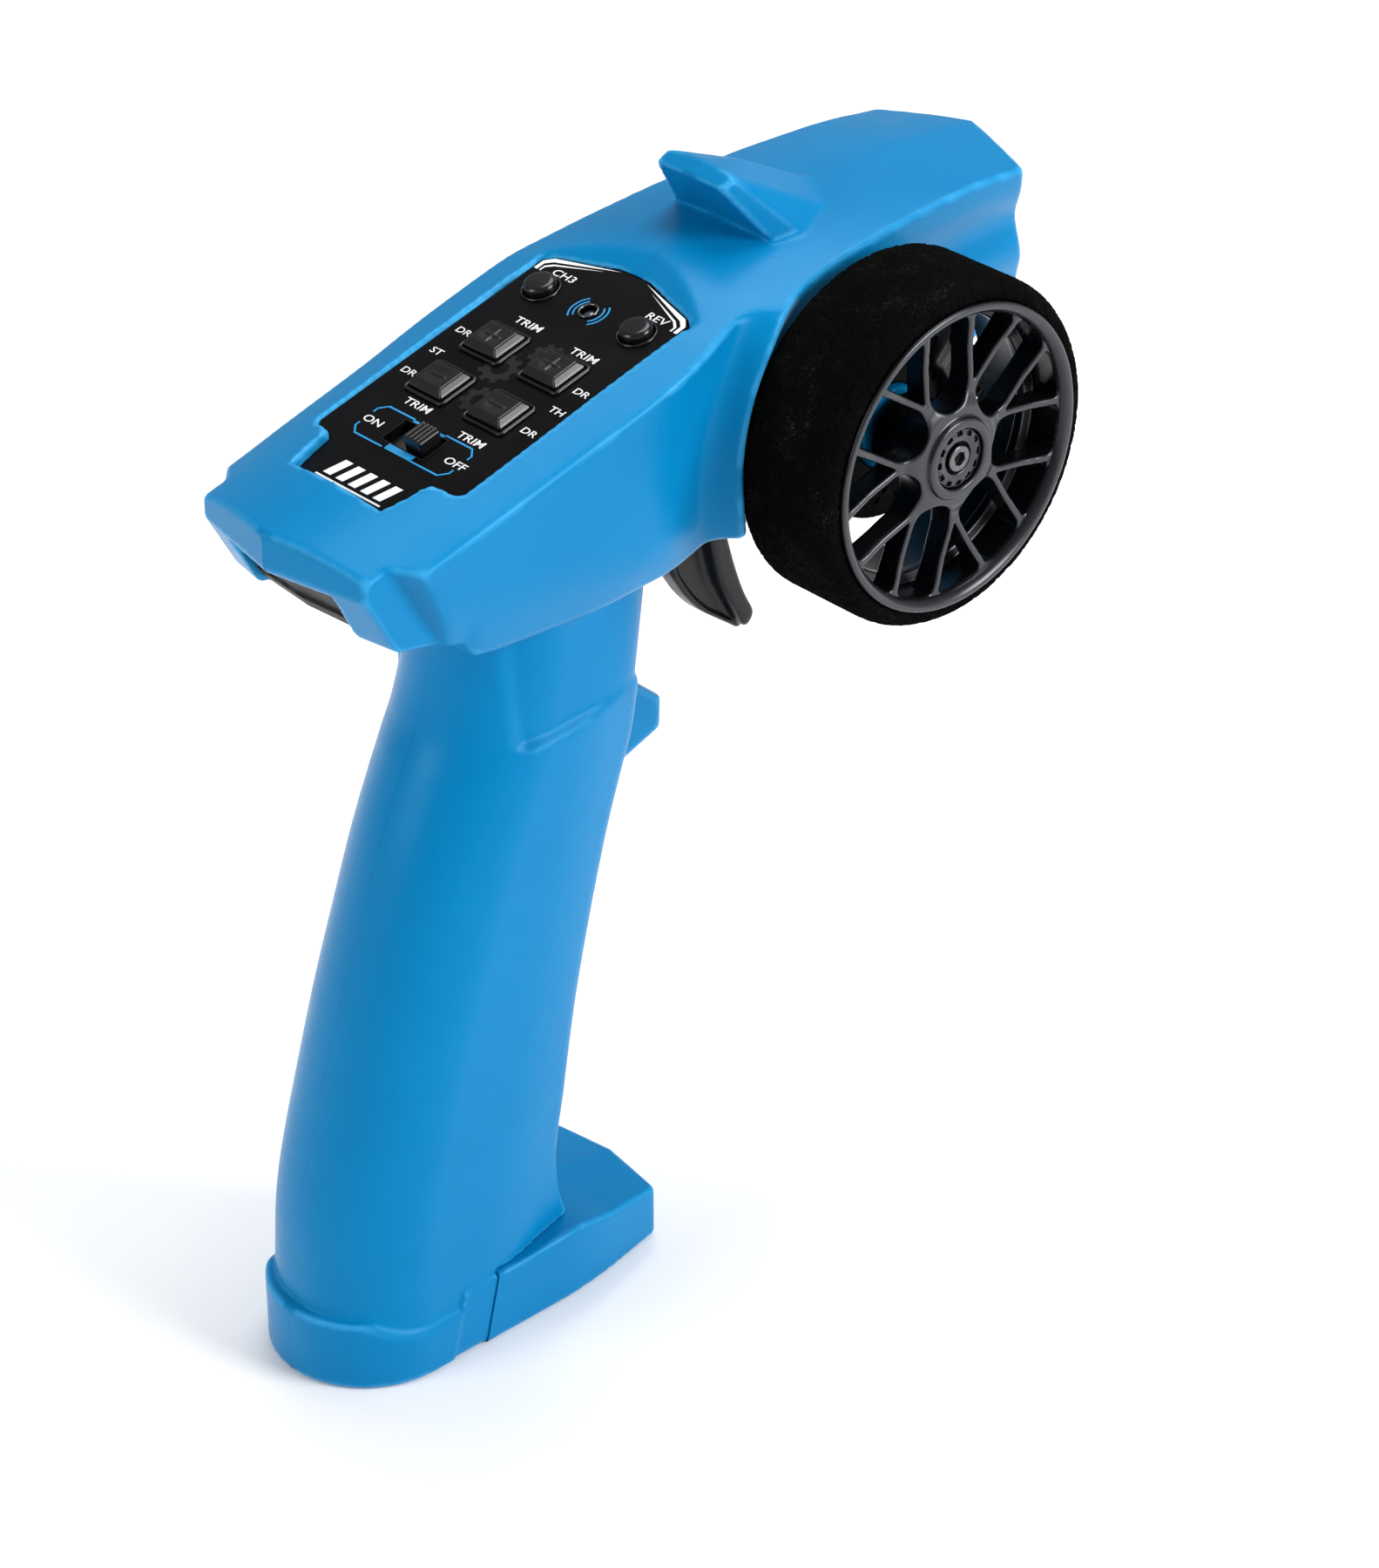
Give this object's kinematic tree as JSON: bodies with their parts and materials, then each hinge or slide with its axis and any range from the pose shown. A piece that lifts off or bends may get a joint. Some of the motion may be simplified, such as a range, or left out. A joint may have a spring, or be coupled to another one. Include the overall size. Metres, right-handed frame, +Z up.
{
  "type": "radio transmitter controller",
  "caption": "Pistol-grip radio transmitter with a split case, a foam-gripped steering wheel on the right, a finger trigger, a sloping panel of keys and a foot with a sliding battery door.",
  "frame": {"origin": "on the flat underside of the foot, on the plane where the two case halves meet", "axes": "+Z up, +Y forward to the nose, +X to the right where the wheel is"},
  "size_m": [0.0685, 0.1512, 0.1864],
  "materials": {
    "case_blue": "satin moulded ABS, light texture",
    "door_blue": "satin moulded ABS, light texture",
    "insert_black": "satin black plastic",
    "panel_black": "black film with printed lines",
    "key_black": "semi-gloss black keys",
    "trigger_black": "satin black plastic",
    "rim_grey": "dark grey satin plastic",
    "foam_black": "open-cell foam",
    "steel": "bright steel",
    "brass": "turned brass",
    "sensor_black": "moulded sensor housing",
    "board_green": "circuit board",
    "lamp_clear": "clear lens",
    "cell_jacket": "battery jacket, density near a real cell's",
    "spring_steel": "spring wire",
    "lead_red": "insulated wire"
  },
  "bodies": {
    "case": {"left_shell": "case_blue", "right_shell": "case_blue", "rear_insert": "insert_black", "label_panel": "panel_black", "trim_bezels": "key_black", "button_rings": "key_black", "power_switch": "sensor_black", "status_lamp": "lamp_clear", "main_board": "board_green", "tact_switches": "sensor_black", "aerial": "brass", "shaft_bush": "brass", "brake_disc": "insert_black", "brake_caliper": "rim_grey", "steering_sensor": "sensor_black", "steering_spring": "spring_steel", "trigger_pin": "steel", "throttle_sensor": "sensor_black", "trigger_spring": "spring_steel", "battery_tray": "sensor_black", "battery_cells": "cell_jacket", "battery_contacts": "brass", "battery_leads": "lead_red", "case_screws": "steel"},
    "steering_wheel": {"wheel_rim": "rim_grey", "wheel_foam": "foam_black", "lock_ring": "rim_grey", "wheel_screw": "steel", "steering_shaft": "steel", "steering_arm": "sensor_black"},
    "trigger_lever": {"trigger": "trigger_black"},
    "door": {"battery_door": "door_blue"},
    "power_slider": {"power_knob": "key_black"},
    "steering_trim_plus_key": {"steering_trim_plus": "key_black"},
    "steering_trim_minus_key": {"steering_trim_minus": "key_black"},
    "throttle_trim_plus_key": {"throttle_trim_plus": "key_black"},
    "throttle_trim_minus_key": {"throttle_trim_minus": "key_black"},
    "channel_button_key": {"channel_button": "key_black"},
    "reverse_button_key": {"reverse_button": "key_black"}
  },
  "joints": [
    {"name": "wheel_turn", "type": "hinge", "parent": "case", "child": "steering_wheel", "pos_m": [0, 0.068, 0.1467], "axis": [1, 0, 0], "range_deg": [-35, 35], "stiffness_Nm_per_rad": 0.05},
    {"name": "trigger_pull", "type": "hinge", "parent": "case", "child": "trigger_lever", "pos_m": [0, 0.049, 0.146], "axis": [1, 0, 0], "range_deg": [-20, 8], "stiffness_Nm_per_rad": 0.05},
    {"name": "power_slide", "type": "slide", "parent": "case", "child": "power_slider", "axis": [-1, 0, 0], "range_m": [0, 0.0044]},
    {"name": "door_slide", "type": "slide", "parent": "case", "child": "door", "axis": [0, 1, 0], "range_m": [0, 0.02]},
    {"name": "steering_trim_plus_press", "type": "slide", "parent": "case", "child": "steering_trim_plus_key", "axis": [0, 0.2672, -0.9636], "range_m": [0, 0.0008], "stiffness_N_per_m": 300, "springref_m": -0.0005},
    {"name": "steering_trim_minus_press", "type": "slide", "parent": "case", "child": "steering_trim_minus_key", "axis": [0, 0.2672, -0.9636], "range_m": [0, 0.0008], "stiffness_N_per_m": 300, "springref_m": -0.0005},
    {"name": "throttle_trim_plus_press", "type": "slide", "parent": "case", "child": "throttle_trim_plus_key", "axis": [0, 0.2672, -0.9636], "range_m": [0, 0.0008], "stiffness_N_per_m": 300, "springref_m": -0.0005},
    {"name": "throttle_trim_minus_press", "type": "slide", "parent": "case", "child": "throttle_trim_minus_key", "axis": [0, 0.2672, -0.9636], "range_m": [0, 0.0008], "stiffness_N_per_m": 300, "springref_m": -0.0005},
    {"name": "channel_button_press", "type": "slide", "parent": "case", "child": "channel_button_key", "axis": [0, 0.2672, -0.9636], "range_m": [0, 0.0008], "stiffness_N_per_m": 300, "springref_m": -0.0005},
    {"name": "reverse_button_press", "type": "slide", "parent": "case", "child": "reverse_button_key", "axis": [0, 0.2672, -0.9636], "range_m": [0, 0.0008], "stiffness_N_per_m": 300, "springref_m": -0.0005}
  ]
}
